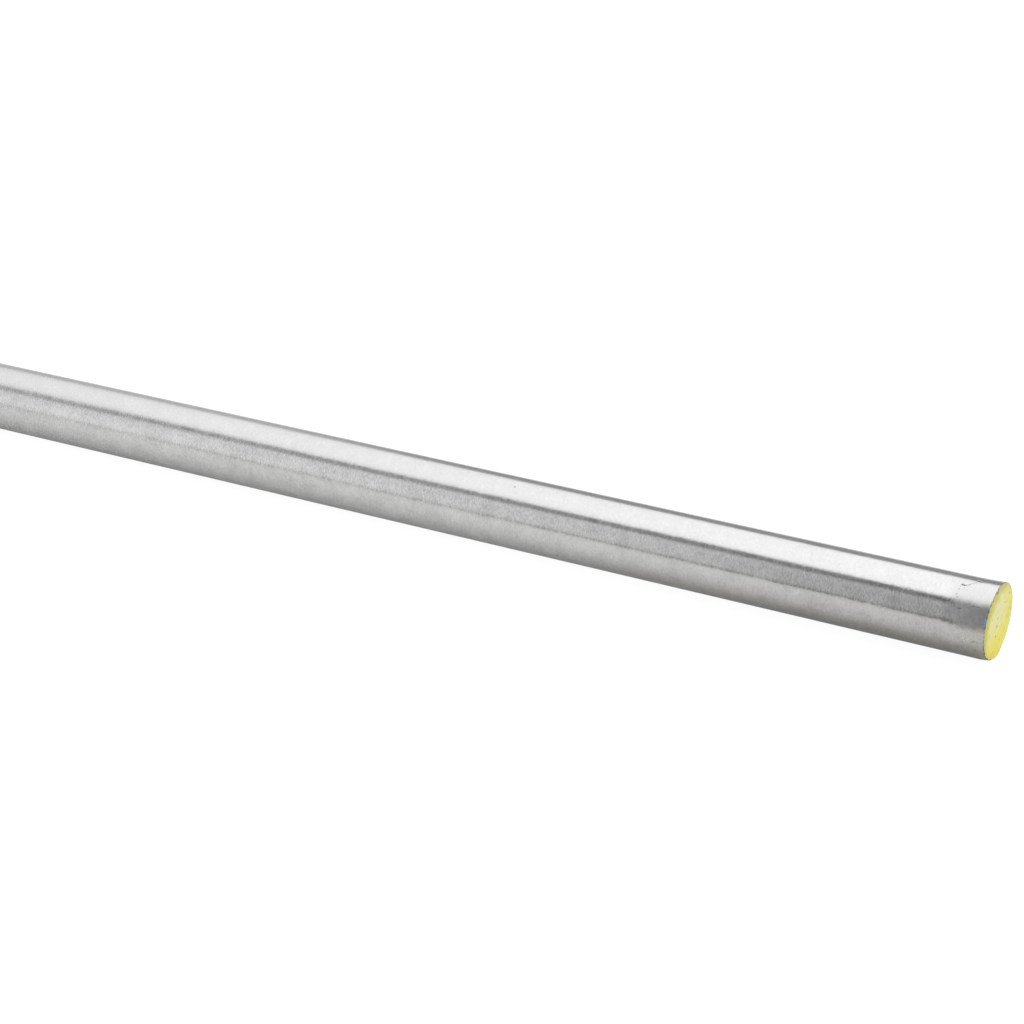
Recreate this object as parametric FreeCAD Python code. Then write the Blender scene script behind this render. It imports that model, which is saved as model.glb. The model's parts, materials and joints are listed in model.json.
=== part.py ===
import FreeCAD, Part
import math
import os

# Round metal bar: one solid piece of bright steel stock, cut to length. It is
# ground round and straight. The marked end, at +X, is cropped in a shear: the
# blades leave its face a little out of square, with a sharp rim on top, and
# they draw the underside up into a short nose. The bare end, at -X, is sawn
# square, and its rim is broken all the way round.
#
# Frame, in millimetres: the bar lies along X on the plane Z = 0. The origin is
# on that plane, under the middle of the bar.

# Stock diameter, and the cut length along the bar's longest line
bar_diameter = 25.0
bar_length = 500.0

# Cropped face: how far it leans out of square, and how far round from the top
# towards +Y the bar's longest line lies, both in degrees
crop_lean = 1.16
crop_turn = 48.0

# Nose behind the cropped face: its length along the bar's longest line, and how
# far it draws the underside up. Its top stays in line with the bar
nose_length = 3.2
nose_draw = 0.3

# Width of the sawn end's broken rim, along the bar and towards its axis
saw_rim = 0.5

bar_radius = bar_diameter / 2
cropped_x = bar_length / 2
nose_x = cropped_x - nose_length
sawn_x = -bar_length / 2


def circle_across(x, radius, height):
    """A circle square across the bar, in two halves that meet at its sides."""
    near = FreeCAD.Vector(x, -radius, height)
    far = FreeCAD.Vector(x, radius, height)
    halves = []
    for rise in (radius, -radius):
        middle = FreeCAD.Vector(x, 0, height + rise)
        halves.append(Part.Arc(near, middle, far).toShape())
    return Part.Wire(halves)


def ground_length():
    """The full round from the sawn end to the nose, with the sawn rim broken."""
    section = Part.Face(circle_across(sawn_x, bar_radius, bar_radius))
    length = section.extrude(FreeCAD.Vector(nose_x - sawn_x, 0, 0))
    rim = [e for e in length.Edges if max(v.X for v in e.Vertexes) == sawn_x]
    return length.makeChamfer(saw_rim, rim)


def cropped_nose():
    """The nose, lofted from the full round to the outline of the leaning face."""
    face_radius = bar_radius - nose_draw / 2
    face_height = bar_radius + nose_draw / 2
    face = circle_across(cropped_x, face_radius, face_height)
    turn = math.radians(crop_turn)
    longest = FreeCAD.Vector(0, math.sin(turn), math.cos(turn))
    hinge = FreeCAD.Vector(0, math.cos(turn), -math.sin(turn))
    tip = FreeCAD.Vector(cropped_x, 0, bar_radius) + longest * bar_radius
    face.rotate(tip, hinge, crop_lean)
    full_round = circle_across(nose_x, bar_radius, bar_radius)
    return Part.makeLoft([full_round, face], True, True)


def round_bar():
    """The whole bar: the ground length and the nose that the shear leaves."""
    return ground_length().fuse(cropped_nose())


os.makedirs("parts", exist_ok=True)
round_bar().exportStep("parts/round_bar.step")
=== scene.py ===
import json
import math
import random

import bmesh
import bpy
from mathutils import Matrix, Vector
from mathutils.geometry import intersect_point_line

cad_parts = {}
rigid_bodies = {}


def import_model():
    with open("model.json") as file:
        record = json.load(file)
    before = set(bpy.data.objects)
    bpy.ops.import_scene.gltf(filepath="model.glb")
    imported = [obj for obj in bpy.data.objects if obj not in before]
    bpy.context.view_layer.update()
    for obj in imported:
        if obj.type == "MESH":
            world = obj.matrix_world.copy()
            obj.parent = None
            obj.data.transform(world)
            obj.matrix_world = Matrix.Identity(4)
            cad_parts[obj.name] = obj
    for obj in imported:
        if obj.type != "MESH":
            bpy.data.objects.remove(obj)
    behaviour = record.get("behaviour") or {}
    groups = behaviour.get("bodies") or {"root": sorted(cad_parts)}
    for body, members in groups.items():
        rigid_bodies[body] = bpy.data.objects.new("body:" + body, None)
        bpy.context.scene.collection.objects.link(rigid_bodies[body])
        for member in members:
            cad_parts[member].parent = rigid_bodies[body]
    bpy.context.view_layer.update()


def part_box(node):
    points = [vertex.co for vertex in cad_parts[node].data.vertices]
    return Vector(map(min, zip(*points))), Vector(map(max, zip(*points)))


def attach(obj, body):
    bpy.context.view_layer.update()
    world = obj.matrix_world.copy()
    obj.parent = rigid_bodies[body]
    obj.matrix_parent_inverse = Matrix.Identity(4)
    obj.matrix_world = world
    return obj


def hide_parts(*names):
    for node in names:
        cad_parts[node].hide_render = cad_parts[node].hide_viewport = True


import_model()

# the bar lies along X, with its cropped end at the high end and its sawn end at the low
bar_low, bar_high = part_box("round_bar")
bar_radius = (bar_high.y - bar_low.y) / 2
bar_axis = Vector((0, 0, bar_radius))
cropped_x = bar_high.x
sawn_x = bar_low.x


# The camera stands on the near side, past the painted end, and looks down along
# the bar through a long lens, so that the bar runs out of the left of the picture.
camera_lens = 81.64
camera_sensor = 36.0
camera_down = math.radians(23.011)
camera_turn = math.radians(30.14)
camera_from_end = Vector((0.1958, -0.6384, 0.3135))

bpy.ops.object.camera_add(
    location=bar_axis + Vector((cropped_x, 0, 0)) + camera_from_end,
    rotation=(math.pi / 2 - camera_down, 0, camera_turn),
)
camera = bpy.context.object
camera.data.lens = camera_lens
camera.data.sensor_width = camera_sensor
bpy.context.scene.camera = camera
bpy.context.scene.view_settings.view_transform = "Standard"


# The room is plain and pale. The floor and what is beyond it are white to the
# camera and in reflections, and the floor still takes the bar's soft shadow.
room_white = (1.0, 1.0, 1.0, 1.0)
floor_size = 60.0
floor_paint = (0.78, 0.78, 0.77, 1.0)
# painted shade: the paper is painted darker towards the cropped end, between these two places along
# it, so that the bar mirrors a darker floor there
floor_shade = (0.63, 0.62, 0.60, 1.0)
shade_start = 0.09
shade_end = 0.25
# the share of the paper that glows to the camera and in reflections, and how strongly
camera_share = 0.85
mirror_share = 0.13
paper_glow = 1.12
# the sky's strength as light, and as the camera and reflections see it
sky_light = 0.6
sky_seen = 1.0


def new_material(name):
    """A material whose surface is still to be wired, and its output node."""
    material = bpy.data.materials.new(name)
    material.use_nodes = True
    material.node_tree.nodes.clear()
    return material, material.node_tree.nodes.new("ShaderNodeOutputMaterial")


def node(tree, kind, settings=None, **inputs):
    """Adds a node and sets or links its inputs, whose names have _ for a space."""
    made = tree.nodes.new("ShaderNode" + kind)
    for name, value in (settings or {}).items():
        setattr(made, name, value)
    for name, value in inputs.items():
        socket = made.inputs[name.replace("_", " ")]
        if isinstance(value, bpy.types.NodeSocket):
            tree.links.new(value, socket)
        else:
            socket.default_value = value
    return made


def maths(tree, operation, *values, clamp=False):
    """The result of a Math node on sockets and plain numbers."""
    made = tree.nodes.new("ShaderNodeMath")
    made.operation = operation
    made.use_clamp = clamp
    for socket, value in zip(made.inputs, values):
        if isinstance(value, bpy.types.NodeSocket):
            tree.links.new(value, socket)
        else:
            socket.default_value = value
    return made.outputs[0]


def ray_kinds(tree):
    """Sockets for a ray from the camera, and for one from a reflection or through glass."""
    paths = node(tree, "LightPath").outputs
    mirrored = maths(tree, "ADD", paths["Is Glossy Ray"], paths["Is Transmission Ray"])
    return paths["Is Camera Ray"], mirrored


bpy.ops.mesh.primitive_plane_add(size=floor_size, location=(0, 0, 0))
floor = bpy.context.object
floor.name = "floor"
material, output = new_material("floor_paper")
tree = material.node_tree
from_camera, mirrored = ray_kinds(tree)
glow = maths(
    tree, "ADD",
    maths(tree, "MULTIPLY", from_camera, camera_share),
    maths(tree, "MULTIPLY", mirrored, mirror_share),
)
# painted shade: the paper's colour turns darker along X towards the cropped end
along = node(tree, "SeparateXYZ", Vector=node(tree, "TexCoord").outputs["Object"]).outputs["X"]
shade = node(
    tree, "MapRange", Value=along, From_Min=shade_start, From_Max=shade_end
).outputs["Result"]
paper = tree.nodes.new("ShaderNodeMix")
paper.data_type = "RGBA"
tree.links.new(shade, paper.inputs[0])
paper.inputs[6].default_value = floor_paint
paper.inputs[7].default_value = floor_shade
matt = node(tree, "BsdfDiffuse", Color=paper.outputs[2])
lit = node(tree, "Emission", Color=room_white, Strength=paper_glow)
mixed = node(tree, "MixShader", Fac=glow)
tree.links.new(matt.outputs[0], mixed.inputs[1])
tree.links.new(lit.outputs[0], mixed.inputs[2])
tree.links.new(mixed.outputs[0], output.inputs["Surface"])
floor.data.materials.append(material)

world = bpy.data.worlds.new("room")
bpy.context.scene.world = world
world.use_nodes = True
tree = world.node_tree
tree.nodes.clear()
from_camera, mirrored = ray_kinds(tree)
seen = maths(tree, "ADD", from_camera, mirrored, clamp=True)
strength = maths(tree, "MULTIPLY_ADD", seen, sky_seen - sky_light, sky_light)
sky = node(tree, "Background", Color=room_white, Strength=strength)
tree.links.new(sky.outputs[0], node(tree, "OutputWorld").inputs["Surface"])


# Long panels beside the bar shape what it mirrors, as in a studio for bright metal.
# The softbox over it and the white card past its end also light it, and the rest
# are seen in reflections alone.
panel_length = 7.0


def panel(name, foot, head, near_glow, far_glow, fade_power, near_x=-0.15, far_x=-1.45):
    """A glowing panel from foot to head, each (y, z), whose glow changes from near_x to far_x."""
    bpy.ops.mesh.primitive_plane_add(
        size=1,
        location=(0, (foot[0] + head[0]) / 2, (foot[1] + head[1]) / 2),
        rotation=(math.atan2(head[1] - foot[1], head[0] - foot[0]), 0, 0),
    )
    made = bpy.context.object
    made.name = name
    made.scale = (panel_length, math.hypot(head[0] - foot[0], head[1] - foot[1]), 1)
    bpy.ops.object.transform_apply(location=True, rotation=True, scale=True)
    made.visible_camera = False
    material, output = new_material(name)
    tree = material.node_tree
    place = node(tree, "TexCoord").outputs["Object"]
    along = node(tree, "SeparateXYZ", Vector=place).outputs["X"]
    nearness = node(
        tree, "MapRange", Value=along, From_Min=far_x, From_Max=near_x
    ).outputs["Result"]
    fade = maths(tree, "POWER", nearness, fade_power)
    strength = maths(tree, "MULTIPLY_ADD", fade, near_glow - far_glow, far_glow)
    glow = node(tree, "Emission", Color=room_white, Strength=strength)
    tree.links.new(glow.outputs[0], output.inputs["Surface"])
    made.data.materials.append(material)
    return made


def mirrored_panel(name, foot, head, near_glow, far_glow, fade_power=2.2, **fade):
    """A panel that neither lights the bar nor takes light from it."""
    made = panel(name, foot, head, near_glow, far_glow, fade_power, **fade)
    made.visible_diffuse = False
    made.visible_shadow = False


softbox_height = 1.1
softbox_front = -0.525
softbox_back = 1.72
panel(
    "softbox", (softbox_front, softbox_height), (softbox_back, softbox_height),
    near_glow=1.50, far_glow=1.12, fade_power=1.0,
)

# in front, a grey card in two heights with a black flag over it; behind, a dark
# card; and along the front of the table a low dark batten
card_y = -1.4
card_join = 0.65
flag_foot = 1.60
batten_y = -0.22
batten_height = 0.0135
mirrored_panel(
    "front_card_low", (card_y, 0.0), (card_y, card_join), near_glow=0.40, far_glow=1.08
)
mirrored_panel(
    "front_card_high", (card_y, card_join), (card_y, flag_foot), near_glow=0.37, far_glow=1.00
)
mirrored_panel(
    "black_flag", (card_y, flag_foot), (softbox_front, softbox_height),
    near_glow=0.14, far_glow=0.36, fade_power=1.6,
)
mirrored_panel(
    "back_card", (softbox_back, 0.0), (softbox_back, softbox_height),
    near_glow=0.35, far_glow=0.56, fade_power=1.0, near_x=-0.95, far_x=-1.2,
)
mirrored_panel(
    "table_batten", (batten_y, 0.0), (batten_y, batten_height),
    near_glow=0.0, far_glow=0.42, near_x=0.08, far_x=-0.35,
)

# a white card past the end lights the painted face
end_card_x = 1.3
end_card_height = 1.0
end_card_width = 2.0
end_card_glow = 1.25
bpy.ops.mesh.primitive_plane_add(
    size=1, location=(end_card_x, 0, end_card_height / 2), rotation=(0, math.pi / 2, 0)
)
end_card = bpy.context.object
end_card.name = "end_card"
end_card.scale = (end_card_height, end_card_width, 1)
bpy.ops.object.transform_apply(location=True, rotation=True, scale=True)
end_card.visible_camera = False
material, output = new_material("end_card")
glow = node(material.node_tree, "Emission", Color=room_white, Strength=end_card_glow)
material.node_tree.links.new(glow.outputs[0], output.inputs["Surface"])
end_card.data.materials.append(material)


# The bar is bright steel, ground round and straight, which leaves fine marks round
# it. A shear cropped the near end: its underside is drawn up into a short nose,
# and its face leans. The far end is sawn square and its rim is broken.
round_sides = 512
body_cuts = 30
ring_step = 0.00015
fine_length = 0.0135
nose_length = 0.0032
nose_draw = 0.0003
crop_lean = math.radians(1.16)
crop_turn = math.radians(48.0)
crop_rim = 0.00018
rim_unevenness = 0.00003
lip_length = 0.009
lip_rise = 0.0003
lip_curve = 1.5
saw_rim = 0.0005
saw_pitch = 0.00055
saw_depth = 0.00004
saw_slant = math.radians(7)
saw_inset = 0.0001
sharp_edge = math.radians(30)
hair = 1e-6


def select_where(thing, test, mode="VERT"):
    """In edit mode, selects only the vertices or faces whose middle passes."""
    bpy.ops.mesh.select_all(action="DESELECT")
    bpy.ops.mesh.select_mode(type=mode)
    mesh = bmesh.from_edit_mesh(thing.data)
    if mode == "VERT":
        for vert in mesh.verts:
            vert.select = test(vert.co)
    else:
        for face in mesh.faces:
            face.select = test(face.calc_center_median())
    mesh.select_flush_mode()
    bmesh.update_edit_mesh(thing.data)


body_end_x = cropped_x - fine_length
body_length = body_end_x - sawn_x
bpy.ops.object.select_all(action="DESELECT")
bpy.ops.mesh.primitive_cylinder_add(
    vertices=round_sides,
    radius=bar_radius,
    depth=body_length,
    location=(sawn_x + body_length / 2, 0, bar_radius),
    rotation=(0, math.pi / 2, 0),
)
bar = bpy.context.object
bar.name = "bright_round_bar"
bpy.ops.object.transform_apply(location=True, rotation=True, scale=True)
bpy.ops.object.mode_set(mode="EDIT")

# the body's length is divided, so that its facets aren't slivers
bpy.ops.mesh.select_all(action="DESELECT")
bpy.ops.mesh.select_mode(type="EDGE")
mesh = bmesh.from_edit_mesh(bar.data)
for edge in mesh.edges:
    edge.select = abs(edge.verts[0].co.x - edge.verts[1].co.x) > body_length / 2
mesh.select_flush_mode()
bmesh.update_edit_mesh(bar.data)
bpy.ops.mesh.subdivide(number_cuts=body_cuts)

# the sawn end: its rim is broken, and the blade's teeth leave shallow lines across it
select_where(bar, lambda c: c.x < sawn_x + ring_step, "FACE")
bpy.ops.mesh.bevel(offset=saw_rim, segments=3, affect="EDGES")


def on_cut(co, within):
    """Whether a place is on the sawn face, within a distance of the bar's axis."""
    return co.x < sawn_x + hair and (co.yz - bar_axis.yz).length < within


cut_radius = bar_radius - saw_rim
select_where(bar, lambda c: on_cut(c, saw_rim), "FACE")
bpy.ops.mesh.inset(thickness=saw_inset)
saw_lines = int(2 * cut_radius / saw_pitch)
saw_normal = Vector((0, math.sin(saw_slant), math.cos(saw_slant)))
for line in range(1, saw_lines):
    point = bar_axis - saw_normal * (cut_radius - line * saw_pitch)
    select_where(bar, lambda c: on_cut(c, bar_radius), "FACE")
    bpy.ops.mesh.bisect(plane_co=(sawn_x, point.y, point.z), plane_no=saw_normal)


def on_saw_line(co, height):
    """Whether a place is on the saw line at a height below the bar's axis."""
    below = -(co - bar_axis).yz.dot(saw_normal.yz)
    return on_cut(co, cut_radius - saw_inset / 2) and abs(below - height) < 10 * hair


saw_teeth = random.Random(4)
for line in range(1, saw_lines):
    select_where(bar, lambda c: on_saw_line(c, cut_radius - line * saw_pitch))
    bpy.ops.transform.translate(value=(saw_depth * saw_teeth.random(), 0, 0))

# the cropped end grows ring by ring: the nose's underside is drawn up and its rings
# lean as they go, and the top flares into a slight lip
select_where(bar, lambda c: c.x > body_end_x - ring_step, "FACE")
ring_count = round(fine_length / ring_step)
nose_rings = round(nose_length / ring_step)
lip_rings = round(lip_length / ring_step)
lean_step = crop_lean / nose_rings
longest = Vector((0, math.sin(crop_turn), math.cos(crop_turn))) * bar_radius


def lean_about_tip(x, angle):
    """Leans what is selected out of square, about the bar's longest line at x."""
    tip = bar_axis + longest + Vector((x, 0, 0))
    bpy.ops.transform.rotate(
        value=-angle * math.cos(crop_turn), orient_axis="Y", center_override=tip
    )
    bpy.ops.transform.rotate(
        value=angle * math.sin(crop_turn), orient_axis="Z", center_override=tip
    )


top, bottom = 2 * bar_radius, 0.0
for ring in range(1, ring_count + 1):
    x = body_end_x + ring * ring_step
    drawn = max(0, ring - (ring_count - nose_rings)) / nose_rings
    flared = max(0, ring - (ring_count - lip_rings)) / lip_rings
    new_top = 2 * bar_radius + lip_rise * flared ** lip_curve
    new_bottom = nose_draw * drawn
    rise = (new_top + new_bottom - top - bottom) / 2
    bpy.ops.mesh.extrude_region_move(TRANSFORM_OT_translate={"value": (ring_step, 0, rise)})
    if flared == 0:
        continue
    grow = (new_top - new_bottom) / (top - bottom)
    top, bottom = new_top, new_bottom
    bpy.ops.transform.resize(
        value=(1, grow, grow), center_override=(x, 0, (top + bottom) / 2)
    )
    if drawn > 0:
        lean_about_tip(x, lean_step)

# the shear leaves the rim crisp but uneven; the rim is marked for a painted shade, a dark line
# along it
bpy.ops.mesh.bevel(offset=crop_rim, segments=2, affect="EDGES")
bpy.ops.mesh.select_more()
bpy.ops.transform.vertex_random(offset=rim_unevenness, seed=8)
face_tip = bar_axis + longest + Vector((cropped_x, 0, 0))
face_normal = Vector((
    math.cos(crop_lean),
    -math.sin(crop_lean) * math.sin(crop_turn),
    -math.sin(crop_lean) * math.cos(crop_turn),
))
mesh = bmesh.from_edit_mesh(bar.data)
layer = mesh.verts.layers.float.new("rim_painted_shade")
for vert in mesh.verts:
    vert[layer] = (face_tip - vert.co).dot(face_normal) < crop_rim * 0.9
bmesh.update_edit_mesh(bar.data)


def on_side(along, round_from_top):
    """The place on the bar at an x, and degrees round from the top to the near side."""
    turn = math.radians(round_from_top)
    return Vector((along, -bar_radius * math.sin(turn), bar_radius * (1 + math.cos(turn))))


# the cropped face isn't quite flat: its foot stands forward, and its top is rubbed
# back. Each bulge is given as degrees round from the top, how far it goes forward and
# up, and how far round it that reaches
face_bulges = ((185.0, 0.00038, 0.00009, 0.0058), (0.0, -0.00018, 0.0, 0.0045))
face_rings = 12


def bulge(thing):
    """Pushes the places on a cropped face forward or back, and what is round them less."""
    for turn, forward, rise, reach in face_bulges:
        spot = on_side(cropped_x, turn)
        verts = bmesh.from_edit_mesh(thing.data).verts
        nearest = min((vert.co - spot).length for vert in verts) + hair
        select_where(thing, lambda c: (c - spot).length < nearest)
        bpy.ops.transform.translate(
            value=(forward, 0, rise), use_proportional_edit=True,
            proportional_edit_falloff="SMOOTH", proportional_size=reach,
        )


# the face is divided in rings, so that it can bulge; its middle is a little off the axis
off_axis = lip_rise + nose_draw
select_where(bar, lambda c: c.x > 0 and (c - bar_axis).yz.length < off_axis, "FACE")
mesh = bmesh.from_edit_mesh(bar.data)
face_middle = next(face.calc_center_median() for face in mesh.faces if face.select)
for ring in range(face_rings, 1, -1):
    shrink = (ring - 1) / ring
    bpy.ops.mesh.extrude_region_move()
    bpy.ops.transform.resize(value=(shrink, shrink, shrink), center_override=face_middle)
bulge(bar)


def score(start, end, width, depth, darkness):
    """Presses a mark into the bar, and notes how dark it is for the steel's finish."""
    def near(co):
        foot, share = intersect_point_line(co, start, end)
        share = min(max(share, 0), 1)
        return (co - start.lerp(end, share)).length < width / 2
    select_where(bar, near)
    bpy.ops.transform.shrink_fatten(value=-depth)
    mesh = bmesh.from_edit_mesh(bar.data)
    layer = mesh.verts.layers.float.get("scored") or mesh.verts.layers.float.new("scored")
    for vert in mesh.verts:
        if vert.select:
            vert[layer] = max(vert[layer], darkness)
    bmesh.update_edit_mesh(bar.data)


# two nicks by the cropped end, each with a raised lip, and a scratch between them; then
# a thin line and a short one lower down, and a pit at the rim. Each mark is its start
# and end, as x and degrees from the top, then its width, its depth and how dark it is
nicks_and_scratches = (
    (0.2383, 15.0, 0.2398, 15.3, 0.0005, -0.00003, 0),
    (0.2383, 20.4, 0.2398, 20.9, 0.0006, -0.00006, 0),
    (0.2384, 17.6, 0.2396, 18.3, 0.0008, 0.00003, 0.25),
    (0.2385, 17.7, 0.2394, 18.2, 0.00042, 0.00009, 1),
    (0.2398, 18.0, 0.2404, 17.2, 0.0003, 0.00003, 0.6),
    (0.2405, 16.3, 0.2409, 14.2, 0.0005, 0.00003, 0.5),
    (0.2411, 12.0, 0.2415, 10.6, 0.0003, 0.00003, 0.5),
    (0.2417, 9.2, 0.2425, 5.9, 0.0003, 0.00003, 0.4),
    (0.2422, -0.8, 0.2431, 1.8, 0.0008, 0.00004, 0.4),
    (0.2423, -0.1, 0.2429, 1.2, 0.00045, 0.00009, 1),
    (0.2431, 2.2, 0.2438, 3.4, 0.0003, 0.00002, 0.35),
    (0.2429, 4.9, 0.2438, 6.0, 0.0004, -0.00004, 0),
    (0.2440, 50.0, 0.2485, 49.2, 0.00028, 0.00001, 0.65),
    (0.2398, 57.0, 0.2407, 56.6, 0.0004, 0.00003, 0.6),
    (0.2483, 3.0, 0.2486, 4.4, 0.0004, 0.00006, 0.9),
)
for start_x, start_turn, end_x, end_turn, width, depth, darkness in nicks_and_scratches:
    score(on_side(start_x, start_turn), on_side(end_x, end_turn), width, depth, darkness)
bpy.ops.object.mode_set(mode="OBJECT")
bpy.ops.object.shade_smooth_by_angle(angle=sharp_edge)


def marks(tree, place, along, around, detail=3.0, **more):
    """Noise in marks of one length along the bar and another round it, from 0 to 1."""
    stretched = node(
        tree, "Mapping", Vector=place, Scale=(1 / along, 1 / around, 1 / around)
    ).outputs[0]
    return node(tree, "TexNoise", Vector=stretched, Scale=1.0, Detail=detail, **more).outputs[0]


def ramp(tree, value, start, end):
    """0 below start and 1 above end, and the other way round where end is the lower."""
    settings = {"interpolation_type": "SMOOTHSTEP"}
    low, high = min(start, end), max(start, end)
    first, last = (0.0, 1.0) if end > start else (1.0, 0.0)
    return node(
        tree, "MapRange", settings,
        Value=value, From_Min=low, From_Max=high, To_Min=first, To_Max=last,
    ).outputs[0]


def patch(tree, place, centre, size, turn=0.0, soft=0.5):
    """A soft patch: 1 in its middle and 0 beyond its size, turned about the bar."""
    inside = node(
        tree, "Mapping", {"vector_type": "TEXTURE"},
        Vector=place, Location=centre, Rotation=(turn, 0, 0), Scale=size,
    ).outputs[0]
    reach = node(tree, "VectorMath", {"operation": "LENGTH"}, Vector=inside).outputs["Value"]
    return ramp(tree, reach, 1 + soft, 1 - soft)


def tint(tree, share, first, second):
    """One colour or grey level laid over another in the share given."""
    made = tree.nodes.new("ShaderNodeMix")
    made.data_type = "RGBA"
    for place_in_node, value in ((0, share), (6, first), (7, second)):
        socket = made.inputs[place_in_node]
        if isinstance(value, bpy.types.NodeSocket):
            tree.links.new(value, socket)
        else:
            socket.default_value = value
    return made.outputs[2]


def about(tree, value, middle, spread):
    """A noise value from 0 to 1 carried to middle, plus or minus half the spread."""
    return maths(tree, "MULTIPLY_ADD", value, spread, middle - spread / 2)


def frayed(tree, place, grain_size, amount):
    """Places moved a little by noise, so that what is drawn on them has a ragged edge."""
    scaled = node(tree, "TexNoise", Vector=place, Scale=1 / grain_size, Detail=2.0).outputs["Color"]
    moved = node(tree, "VectorMath", {"operation": "MULTIPLY_ADD"}, Vector=scaled)
    moved.inputs[1].default_value = (amount, amount, amount)
    tree.links.new(place, moved.inputs[2])
    centred = node(tree, "VectorMath", {"operation": "SUBTRACT"}, Vector=moved.outputs[0])
    centred.inputs[1].default_value = (amount / 2, amount / 2, amount / 2)
    return centred.outputs[0]


def finish_surface(tree, output, height, **inputs):
    """Wires a material's shader and its relief, whose height is in metres, to its output."""
    relief = node(tree, "Bump", Strength=1.0, Distance=1.0, Height=height).outputs[0]
    shader = node(tree, "BsdfPrincipled", Normal=relief, **inputs)
    tree.links.new(shader.outputs[0], output.inputs["Surface"])


# the grinding marks run round the bar; they are paler and coarser towards the far
# end, and the last stretch at the cropped end is rubbed dull and smooth
steel_grey = 0.615
# the brown of a painted reflection, low on the sides near the cropped end
reflected_warm_brown = (0.14, 0.11, 0.03, 1.0)
spray_yellow = (0.62, 0.58, 0.32, 1.0)
# the dull stretch starts nearer the rim low down: this much along for each metre down
dull_slope = 0.279

steel, output = new_material("ground_steel")
tree = steel.node_tree
place = node(tree, "TexCoord").outputs["Object"]
along = node(tree, "SeparateXYZ", Vector=place).outputs["X"]
far = ramp(tree, along, 0.20, -0.20)
strokes = marks(tree, place, along=0.0007, around=0.0012)
hairlines = marks(tree, place, along=0.0004, around=0.0009, detail=2.0)
scuffs = marks(tree, place, along=0.0004, around=0.0006)
clouds = marks(tree, place, along=0.005, around=0.005, detail=2.0)
turns = marks(tree, place, along=0.018, around=0.5, detail=1.0)
waves = marks(tree, place, along=0.014, around=0.009, detail=1.0)

# places on the bar with ragged edges, for rubbed and stained patches and for a patch of painted
# shade
loose = frayed(tree, place, grain_size=0.0018, amount=0.0026)
loose_axes = node(tree, "SeparateXYZ", Vector=loose)
across_zone = maths(
    tree, "MULTIPLY_ADD", loose_axes.outputs["Z"], dull_slope, loose_axes.outputs["X"]
)
dull = ramp(tree, across_zone, 0.2408, 0.2462)
turned = maths(
    tree, "ARCTAN2",
    maths(tree, "MULTIPLY", loose_axes.outputs["Y"], -1.0),
    maths(tree, "SUBTRACT", loose_axes.outputs["Z"], bar_radius),
)
# painted shade: on the near side by the cropped end, the band that mirrors the grey surroundings is
# painted darker
near_side = maths(
    tree, "MULTIPLY",
    ramp(tree, turned, math.radians(40), math.radians(54)),
    ramp(tree, turned, math.radians(88), math.radians(78)),
)
near_side_painted_shade = maths(tree, "MULTIPLY", ramp(tree, across_zone, 0.2370, 0.2540), near_side)


def together(tree, place, patches):
    """The strongest of several patches, each given as x, degrees round, length and width."""
    joined = None
    for x, turn, length, width in patches:
        spot = patch(tree, place, on_side(x, turn), (length / 2, width / 2, width / 2))
        joined = spot if joined is None else maths(tree, "MAXIMUM", joined, spot)
    return joined


small_place = frayed(tree, place, grain_size=0.0006, amount=0.0005)
dark_specks = together(tree, small_place, (
    (0.0788, 20.7, 0.0008, 0.0008), (0.0987, 125.6, 0.0011, 0.0009),
    (0.2382, 27.6, 0.0006, 0.0005), (0.2381, 36.9, 0.0005, 0.0007),
    (0.2387, 40.6, 0.0007, 0.0005),
))
smudges = together(tree, loose, (
    (0.2327, 47.9, 0.0036, 0.0009), (0.2358, 48.2, 0.0032, 0.0009),
    (0.2345, 76.0, 0.0040, 0.0012), (0.2366, 76.6, 0.0030, 0.0018),
    (0.2387, 77.2, 0.0030, 0.0014), (0.2467, 102.0, 0.0016, 0.0010),
    (0.2470, 119.0, 0.0014, 0.0018),
))
frosted = together(tree, small_place, (
    (0.2404, 84.0, 0.0026, 0.0024), (0.2418, 91.0, 0.0034, 0.0034),
    (0.2434, 101.0, 0.0026, 0.0026), (0.2284, 99.5, 0.0018, 0.0012),
    (0.2311, 102.0, 0.0026, 0.0016), (0.2026, 98.1, 0.0012, 0.0010),
    (0.1873, 87.8, 0.0018, 0.0022), (0.2468, 97.0, 0.0016, 0.0012),
))
frost = maths(tree, "MULTIPLY", frosted, ramp(tree, scuffs, 0.50, 0.66))
flecks = maths(
    tree, "MULTIPLY",
    ramp(tree, marks(tree, place, along=0.0011, around=0.0016), 0.60, 0.74),
    maths(tree, "MULTIPLY_ADD", far, 0.7, 0.3),
)
scored = node(tree, "Attribute", {"attribute_name": "scored"}).outputs["Fac"]
# painted shade: the cropped rim is painted dark, broken up by the hairlines, and is made rougher
rim_painted_shade = node(tree, "Attribute", {"attribute_name": "rim_painted_shade"}).outputs["Fac"]
rim_painted_shade = maths(tree, "MULTIPLY", rim_painted_shade, ramp(tree, hairlines, 0.62, 0.42))

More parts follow.
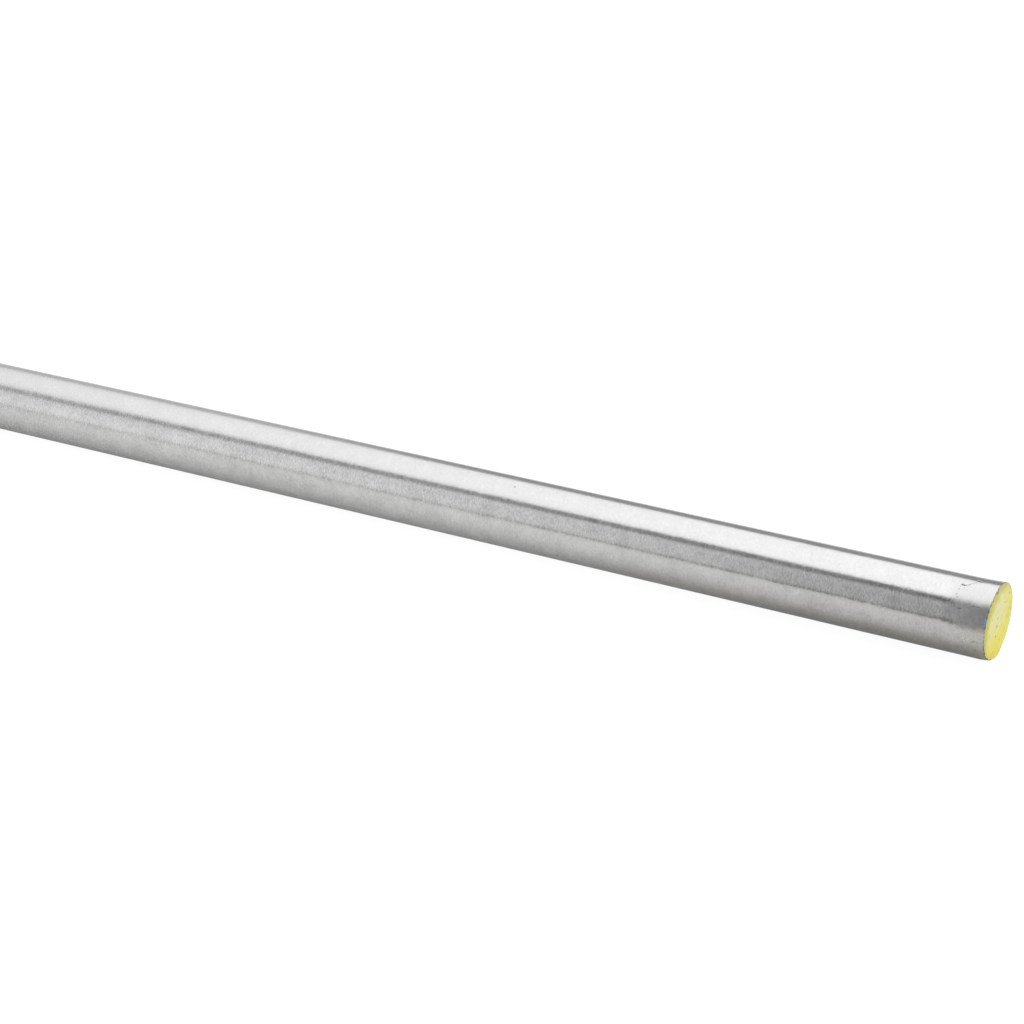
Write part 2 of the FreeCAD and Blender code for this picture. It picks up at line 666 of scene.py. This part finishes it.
# the grain is plain on the sides, weaker low down, and half wiped away along the top
height_up = node(tree, "SeparateXYZ", Vector=place).outputs["Z"]
sides = ramp(tree, height_up, 1.80 * bar_radius, 1.62 * bar_radius)
low_down = ramp(tree, height_up, 1.22 * bar_radius, 1.05 * bar_radius)
grain = maths(tree, "ADD", about(tree, strokes, 0.0, 0.13), about(tree, hairlines, 0.0, 0.17))
grain = maths(tree, "ADD", grain, about(tree, clouds, 0.0, 0.12))
weaker = maths(tree, "MULTIPLY_ADD", far, -0.35, -0.2)
coarser = maths(tree, "MULTIPLY_ADD", far, 0.55, 1.15)
coarser = maths(tree, "MULTIPLY_ADD", low_down, weaker, coarser)
grain = maths(tree, "MULTIPLY", grain, maths(tree, "MULTIPLY_ADD", sides, coarser, 0.6))
grey = maths(tree, "ADD", grain, about(tree, turns, steel_grey, 0.04))
grey = maths(tree, "MULTIPLY_ADD", flecks, 0.07, grey)
grey = maths(tree, "MULTIPLY_ADD", frost, 0.19, grey)
# each mask darkens the grey by its loss; the darkening on the near side by the cropped end and
# along the cropped rim is painted shade
for mask, loss in (
    (dull, 0.05), (near_side_painted_shade, 0.36), (smudges, 0.25), (dark_specks, 0.35), (scored, 0.75),
    (rim_painted_shade, 0.7),
):
    grey = maths(tree, "MULTIPLY", grey, maths(tree, "MULTIPLY_ADD", mask, -loss, 1.0))

# painted reflection: low on the sides near the cropped end the steel is tinted brown, for the warm
# shaded floor that it mirrors there
warm_reflection_tint = maths(
    tree, "MULTIPLY",
    ramp(tree, along, 0.05, 0.21),
    ramp(tree, height_up, 0.82 * bar_radius, 0.45 * bar_radius),
)
colour = tint(tree, maths(tree, "MULTIPLY", warm_reflection_tint, 0.28), grey, reflected_warm_brown)

# and a little of the end's paint has sprayed past the rim
overspray = maths(
    tree, "MULTIPLY",
    patch(tree, loose, on_side(0.2478, 112.0), (0.0045, 0.007, 0.007), soft=0.6),
    ramp(tree, marks(tree, place, along=0.0010, around=0.0010), 0.35, 0.75),
)
speck = patch(tree, small_place, on_side(0.2126, 10.4), (0.0005, 0.0004, 0.0004))
overspray = maths(
    tree, "MAXIMUM",
    maths(tree, "MULTIPLY", overspray, 0.35),
    maths(tree, "MULTIPLY", speck, 0.6),
)
colour = tint(tree, overspray, colour, spray_yellow)

rough = about(tree, strokes, 0.20, 0.14)
rough = maths(tree, "ADD", rough, about(tree, clouds, 0.0, 0.05))
rough = maths(tree, "MULTIPLY_ADD", far, 0.07, rough)
below_top = ramp(tree, height_up, 1.99 * bar_radius, 1.90 * bar_radius)
rough = maths(tree, "MULTIPLY_ADD", maths(tree, "MULTIPLY", dull, below_top), 0.14, rough)
rough = maths(tree, "MULTIPLY_ADD", scored, 0.25, rough)
rough = maths(tree, "MULTIPLY_ADD", rim_painted_shade, 0.2, rough, clamp=True)
calm = maths(tree, "MULTIPLY_ADD", dull, -0.6, 1.0)
height = maths(tree, "MULTIPLY", strokes, 0.000028)
height = maths(tree, "MULTIPLY_ADD", hairlines, 0.00001, height)
height = maths(tree, "MULTIPLY", height, calm)
height = maths(tree, "MULTIPLY_ADD", waves, 0.00005, height)
finish_surface(tree, output, height, Base_Color=colour, Metallic=1.0, Roughness=rough)
bar.data.materials.clear()
bar.data.materials.append(steel)

# the sawn face is brighter along its teeth's lines
sawn, output = new_material("sawn_steel")
tree = sawn.node_tree
place = node(tree, "TexCoord").outputs["Object"]
turned_place = node(tree, "Mapping", Vector=place, Rotation=(-saw_slant, 0, 0)).outputs[0]
line_length = 0.012
line_width = 0.00018
lines = node(
    tree, "Mapping", Vector=turned_place, Scale=(1.0, 1 / line_length, 1 / line_width)
).outputs[0]
lines = node(tree, "TexNoise", Vector=lines, Scale=1.0, Detail=3.0).outputs[0]
flecks = node(tree, "TexNoise", Vector=place, Scale=1 / 0.0012, Detail=3.0).outputs[0]
grey = maths(tree, "ADD", about(tree, lines, 0.5, 0.3), about(tree, flecks, 0.0, 0.1))
rough = about(tree, lines, 0.38, 0.2)
height = maths(tree, "MULTIPLY", lines, 0.00003)
finish_surface(tree, output, height, Base_Color=grey, Metallic=1.0, Roughness=rough)
bar.data.materials.append(sawn)
for polygon in bar.data.polygons:
    cut = polygon.center.x < sawn_x + saw_rim / 2 and polygon.normal.x < -0.9
    polygon.material_index = 1 if cut else 0

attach(bar, "root")
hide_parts("round_bar")


# A dab of yellow paint marks the cropped end. It is one thin matt coat, brushed
# on, that runs out raggedly at the rim and has pinholes.
paint_thickness = 0.00008
paint_sink = 0.00003
paint_rings = 26
ringed_share = 0.97
paint_unevenness = 0.00004
brushing_depth = 0.00005
pinhole_depth = 0.00004
paint_radius = (top - bottom) / 2 - crop_rim
face_centre = Vector((cropped_x, 0, (top + bottom) / 2))

bpy.ops.object.select_all(action="DESELECT")
bpy.ops.mesh.primitive_cylinder_add(
    vertices=256,
    radius=paint_radius,
    depth=paint_thickness,
    location=face_centre + Vector((paint_thickness / 2 - paint_sink, 0, 0)),
    rotation=(0, math.pi / 2, 0),
)
coat = bpy.context.object
coat.name = "end_paint"
bpy.ops.object.transform_apply(location=True, rotation=True, scale=True)
bpy.ops.object.mode_set(mode="EDIT")

# the coat's front is divided in rings
select_where(coat, lambda c: c.x > cropped_x + paint_thickness / 4, "FACE")
for ring in range(paint_rings):
    bpy.ops.mesh.inset(thickness=paint_radius * ringed_share / paint_rings)

# the coat stops short of the rim in places, each given as degrees round from the top,
# how wide it is in degrees, and how far the coat stops short
bare_places = (
    (4, 3, 0.0003), (16, 5, 0.0013), (28, 3, 0.0004), (36, 2, 0.0006), (45, 4, 0.0003),
    (54, 2, 0.0006), (64, 3, 0.0003), (77, 3, 0.0005), (90, 3, 0.0003), (97, 2, 0.0006),
    (106, 3, 0.0007), (117, 3, 0.0004), (124, 2, 0.0006), (135, 4, 0.0003), (146, 3, 0.0005),
    (160, 4, 0.0003), (180, 4, 0.0002), (205, 4, 0.0003), (232, 4, 0.0002),
    (251, 3, 0.0003), (280, 4, 0.0002), (305, 3, 0.0003), (330, 4, 0.0002),
)


def pull_in(turn, width, beyond, gap):
    """Pulls the coat's rim in by a gap over a width of degrees, beyond a share of its radius."""
    def beside(co):
        place = co - face_centre
        away = math.degrees(math.atan2(-place.y, place.z)) - turn
        away = abs((away + 180) % 360 - 180)
        return place.yz.length > paint_radius * beyond and away < width
    select_where(coat, beside)
    shrink = 1 - gap / paint_radius
    bpy.ops.transform.resize(value=(1, shrink, shrink), center_override=face_centre)


# the rings give way the more, the nearer they are to the rim
for turn, width, gap in bare_places:
    for beyond, part_of_gap in ((0.975, 0.4), (0.94, 0.3), (0.90, 0.2)):
        pull_in(turn, width, beyond, gap * part_of_gap * 0.4)
        pull_in(turn, width / 2, beyond, gap * part_of_gap * 0.6)
select_where(coat, lambda c: (c - face_centre).yz.length > paint_radius * 0.9)
bpy.ops.transform.vertex_random(offset=paint_unevenness, seed=3)

# pinholes, each given as its place across and up from the bar's axis and its radius,
# in millimetres
pinholes = (
    (-0.9, 1.65, 0.45), (-1.1, -1.0, 0.6), (-1.5, -4.3, 0.5), (7.9, 7.0, 0.5), (10.6, 0.5, 0.4),
    (4.5, 5.2, 0.3), (-6.2, 3.4, 0.3), (2.6, -7.1, 0.35), (-4.4, 8.8, 0.35), (6.8, -4.9, 0.3),
)
for across, up, size in pinholes:
    spot = bar_axis + Vector((0, across / 1000, up / 1000))
    select_where(coat, lambda c: c.x > cropped_x and (c - spot).yz.length < size / 1000)
    bpy.ops.transform.translate(value=(-pinhole_depth, 0, 0))
bpy.ops.mesh.select_all(action="SELECT")
lean_about_tip(cropped_x, crop_lean)
bulge(coat)
bpy.ops.mesh.select_all(action="SELECT")
bpy.ops.mesh.normals_make_consistent(inside=False)
bpy.ops.object.mode_set(mode="OBJECT")
bpy.ops.object.shade_smooth_by_angle(angle=math.radians(40))

brushed = bpy.data.textures.new("brushed_coat", "CLOUDS")
brushed.noise_scale = 0.0016
relief = coat.modifiers.new("brushed", "DISPLACE")
relief.texture = brushed
relief.texture_coords = "LOCAL"
relief.direction = "X"
relief.strength = brushing_depth
bpy.ops.object.modifier_apply(modifier=relief.name)

paint, output = new_material("yellow_end_paint")
tree = paint.node_tree
place = node(tree, "TexCoord").outputs["Object"]
loose = frayed(tree, place, grain_size=0.003, amount=0.003)
brushing = node(
    tree, "Mapping", Vector=place, Rotation=(math.radians(-60), 0, 0),
    Scale=(1.0, 1 / 0.006, 1 / 0.0009),
).outputs[0]
brushing = node(tree, "TexNoise", Vector=brushing, Scale=1.0, Detail=4.0).outputs[0]
mottle = node(tree, "TexNoise", Vector=place, Scale=1 / 0.0022, Detail=4.0).outputs[0]


def on_face(across, up):
    """A place on the cropped face, in millimetres across and up from the bar's axis."""
    return Vector((cropped_x, across / 1000, bar_radius + up / 1000))


yellow = (0.89, 0.81, 0.15, 1.0)
brushed_yellow = (0.87, 0.81, 0.23, 1.0)
golden_yellow = (0.90, 0.78, 0.10, 1.0)
# the pale yellow of the painted sheen
sheen_pale_yellow = (0.84, 0.82, 0.46, 1.0)
olive = (0.55, 0.52, 0.14, 1.0)
orange = (0.72, 0.50, 0.10, 1.0)
grime = (0.22, 0.20, 0.10, 1.0)
# painted reflection and shade: a pale streak across the coat is painted sheen, for the white floor
# it mirrors, and olive towards its upper left rim is painted shade, for the darker surroundings it
# mirrors; a patch's first size only reaches through the coat
through = 0.02
colour = tint(tree, ramp(tree, brushing, 0.35, 0.7), yellow, brushed_yellow)
painted_sheen = patch(
    tree, loose, on_face(-0.4, 3.6), (through, 0.0086, 0.0056),
    turn=math.radians(52), soft=0.7,
)
colour = tint(tree, maths(tree, "MULTIPLY", painted_sheen, 0.85), colour, sheen_pale_yellow)
off_centre = node(
    tree, "Mapping", {"vector_type": "TEXTURE"},
    Vector=loose, Location=on_face(2.8, -2.0), Scale=(1.0, bar_radius, bar_radius),
).outputs[0]
off_centre = node(tree, "VectorMath", {"operation": "LENGTH"}, Vector=off_centre).outputs["Value"]
rim_olive_shade = maths(tree, "MULTIPLY", ramp(tree, off_centre, 0.80, 1.15), 0.8)
colour = tint(tree, rim_olive_shade, colour, olive)
colour = tint(tree, maths(tree, "MULTIPLY", ramp(tree, mottle, 0.52, 0.75), 0.3), colour, olive)
# painted shade: soft olive patches darken the left and right of the face
for across, up, size in ((-9.8, 4.4, 3.0), (9.0, 0.6, 2.4)):
    olive_shade_patch = patch(
        tree, loose, on_face(across, up), (through, size / 1500, size / 1000), soft=0.8
    )
    colour = tint(tree, maths(tree, "MULTIPLY", olive_shade_patch, 0.2), colour, olive)
# painted shade: the lower face is a deeper yellow, where it mirrors the shaded floor beside the bar
lower_face_shade = patch(
    tree, loose, on_face(-0.5, -8.5), (through, 0.0075, 0.0045),
    turn=math.radians(15), soft=0.6,
)
colour = tint(tree, maths(tree, "MULTIPLY", lower_face_shade, 0.6), colour, golden_yellow)
warm = None
for across, up, size in ((-3.5, -10.1, 1.5), (4.0, -10.6, 1.0), (9.2, -1.6, 1.0), (8.0, -6.0, 1.1)):
    spot = patch(
        tree, loose, on_face(across, up), (through, size / 1000, size / 1500),
        turn=0.3, soft=0.6,
    )
    warm = spot if warm is None else maths(tree, "MAXIMUM", warm, spot)
colour = tint(tree, maths(tree, "MULTIPLY", warm, 0.3), colour, orange)
frayed_place = frayed(tree, place, grain_size=0.0005, amount=0.0004)
holes = None
for across, up, size in pinholes:
    hole = patch(tree, frayed_place, on_face(across, up), (through, size / 1300, size / 1300))
    holes = hole if holes is None else maths(tree, "MAXIMUM", holes, hole)
colour = tint(tree, maths(tree, "MULTIPLY", holes, 0.75), colour, grime)
rough = about(tree, brushing, 0.5, 0.2)
height = maths(tree, "MULTIPLY", brushing, 0.00004)
height = maths(tree, "MULTIPLY_ADD", mottle, 0.00003, height)
finish_surface(
    tree, output, height, Base_Color=colour, Roughness=rough, Specular_IOR_Level=0.3
)
coat.data.materials.clear()
coat.data.materials.append(paint)
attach(coat, "root")


# A fleck of blue paint, left from another marking, clings to the round side just
# behind the cropped rim.
# each dab is its x and degrees round from the top, then half its length and half its turn
fleck_dabs = ((0.24932, 66.4, 0.00034, 4.0), (0.24914, 73.6, 0.00026, 3.6))
fleck_thickness = 0.00004
blue = (0.08, 0.30, 0.55, 1.0)
pale_blue = (0.16, 0.42, 0.66, 1.0)

bpy.ops.object.select_all(action="DESELECT")
bar.select_set(True)
bpy.context.view_layer.objects.active = bar
bpy.ops.object.mode_set(mode="EDIT")


def under_fleck(co):
    """Whether a place on the bar is under one of the fleck's dabs."""
    turn = math.degrees(math.atan2(-co.y, co.z - bar_radius))
    return any(
        ((co.x - x) / half_length) ** 2 + ((turn - middle) / half_turn) ** 2 < 1
        for x, middle, half_length, half_turn in fleck_dabs
    )


select_where(bar, under_fleck, "FACE")
bpy.ops.mesh.duplicate()
bpy.ops.mesh.separate(type="SELECTED")
bpy.ops.object.mode_set(mode="OBJECT")
fleck = next(o for o in bpy.context.selected_objects if o != bar)
fleck.name = "blue_paint_fleck"
bpy.ops.object.select_all(action="DESELECT")
fleck.select_set(True)
bpy.context.view_layer.objects.active = fleck
bpy.ops.object.mode_set(mode="EDIT")
bpy.ops.mesh.select_all(action="SELECT")
bpy.ops.mesh.subdivide(number_cuts=1)
bpy.ops.mesh.vertices_smooth(repeat=4)
bpy.ops.object.mode_set(mode="OBJECT")
wall = fleck.modifiers.new("thickness", "SOLIDIFY")
wall.thickness = fleck_thickness
wall.offset = 1
bpy.ops.object.modifier_apply(modifier=wall.name)

fleck_paint, output = new_material("blue_paint")
tree = fleck_paint.node_tree
place = node(tree, "TexCoord").outputs["Object"]
mottle = node(tree, "TexNoise", Vector=place, Scale=1 / 0.0006, Detail=3.0).outputs[0]
colour = tint(tree, ramp(tree, mottle, 0.35, 0.7), blue, pale_blue)
height = maths(tree, "MULTIPLY", mottle, 0.00002)
finish_surface(tree, output, height, Base_Color=colour, Roughness=0.45)
fleck.data.materials.clear()
fleck.data.materials.append(fleck_paint)
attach(fleck, "root")
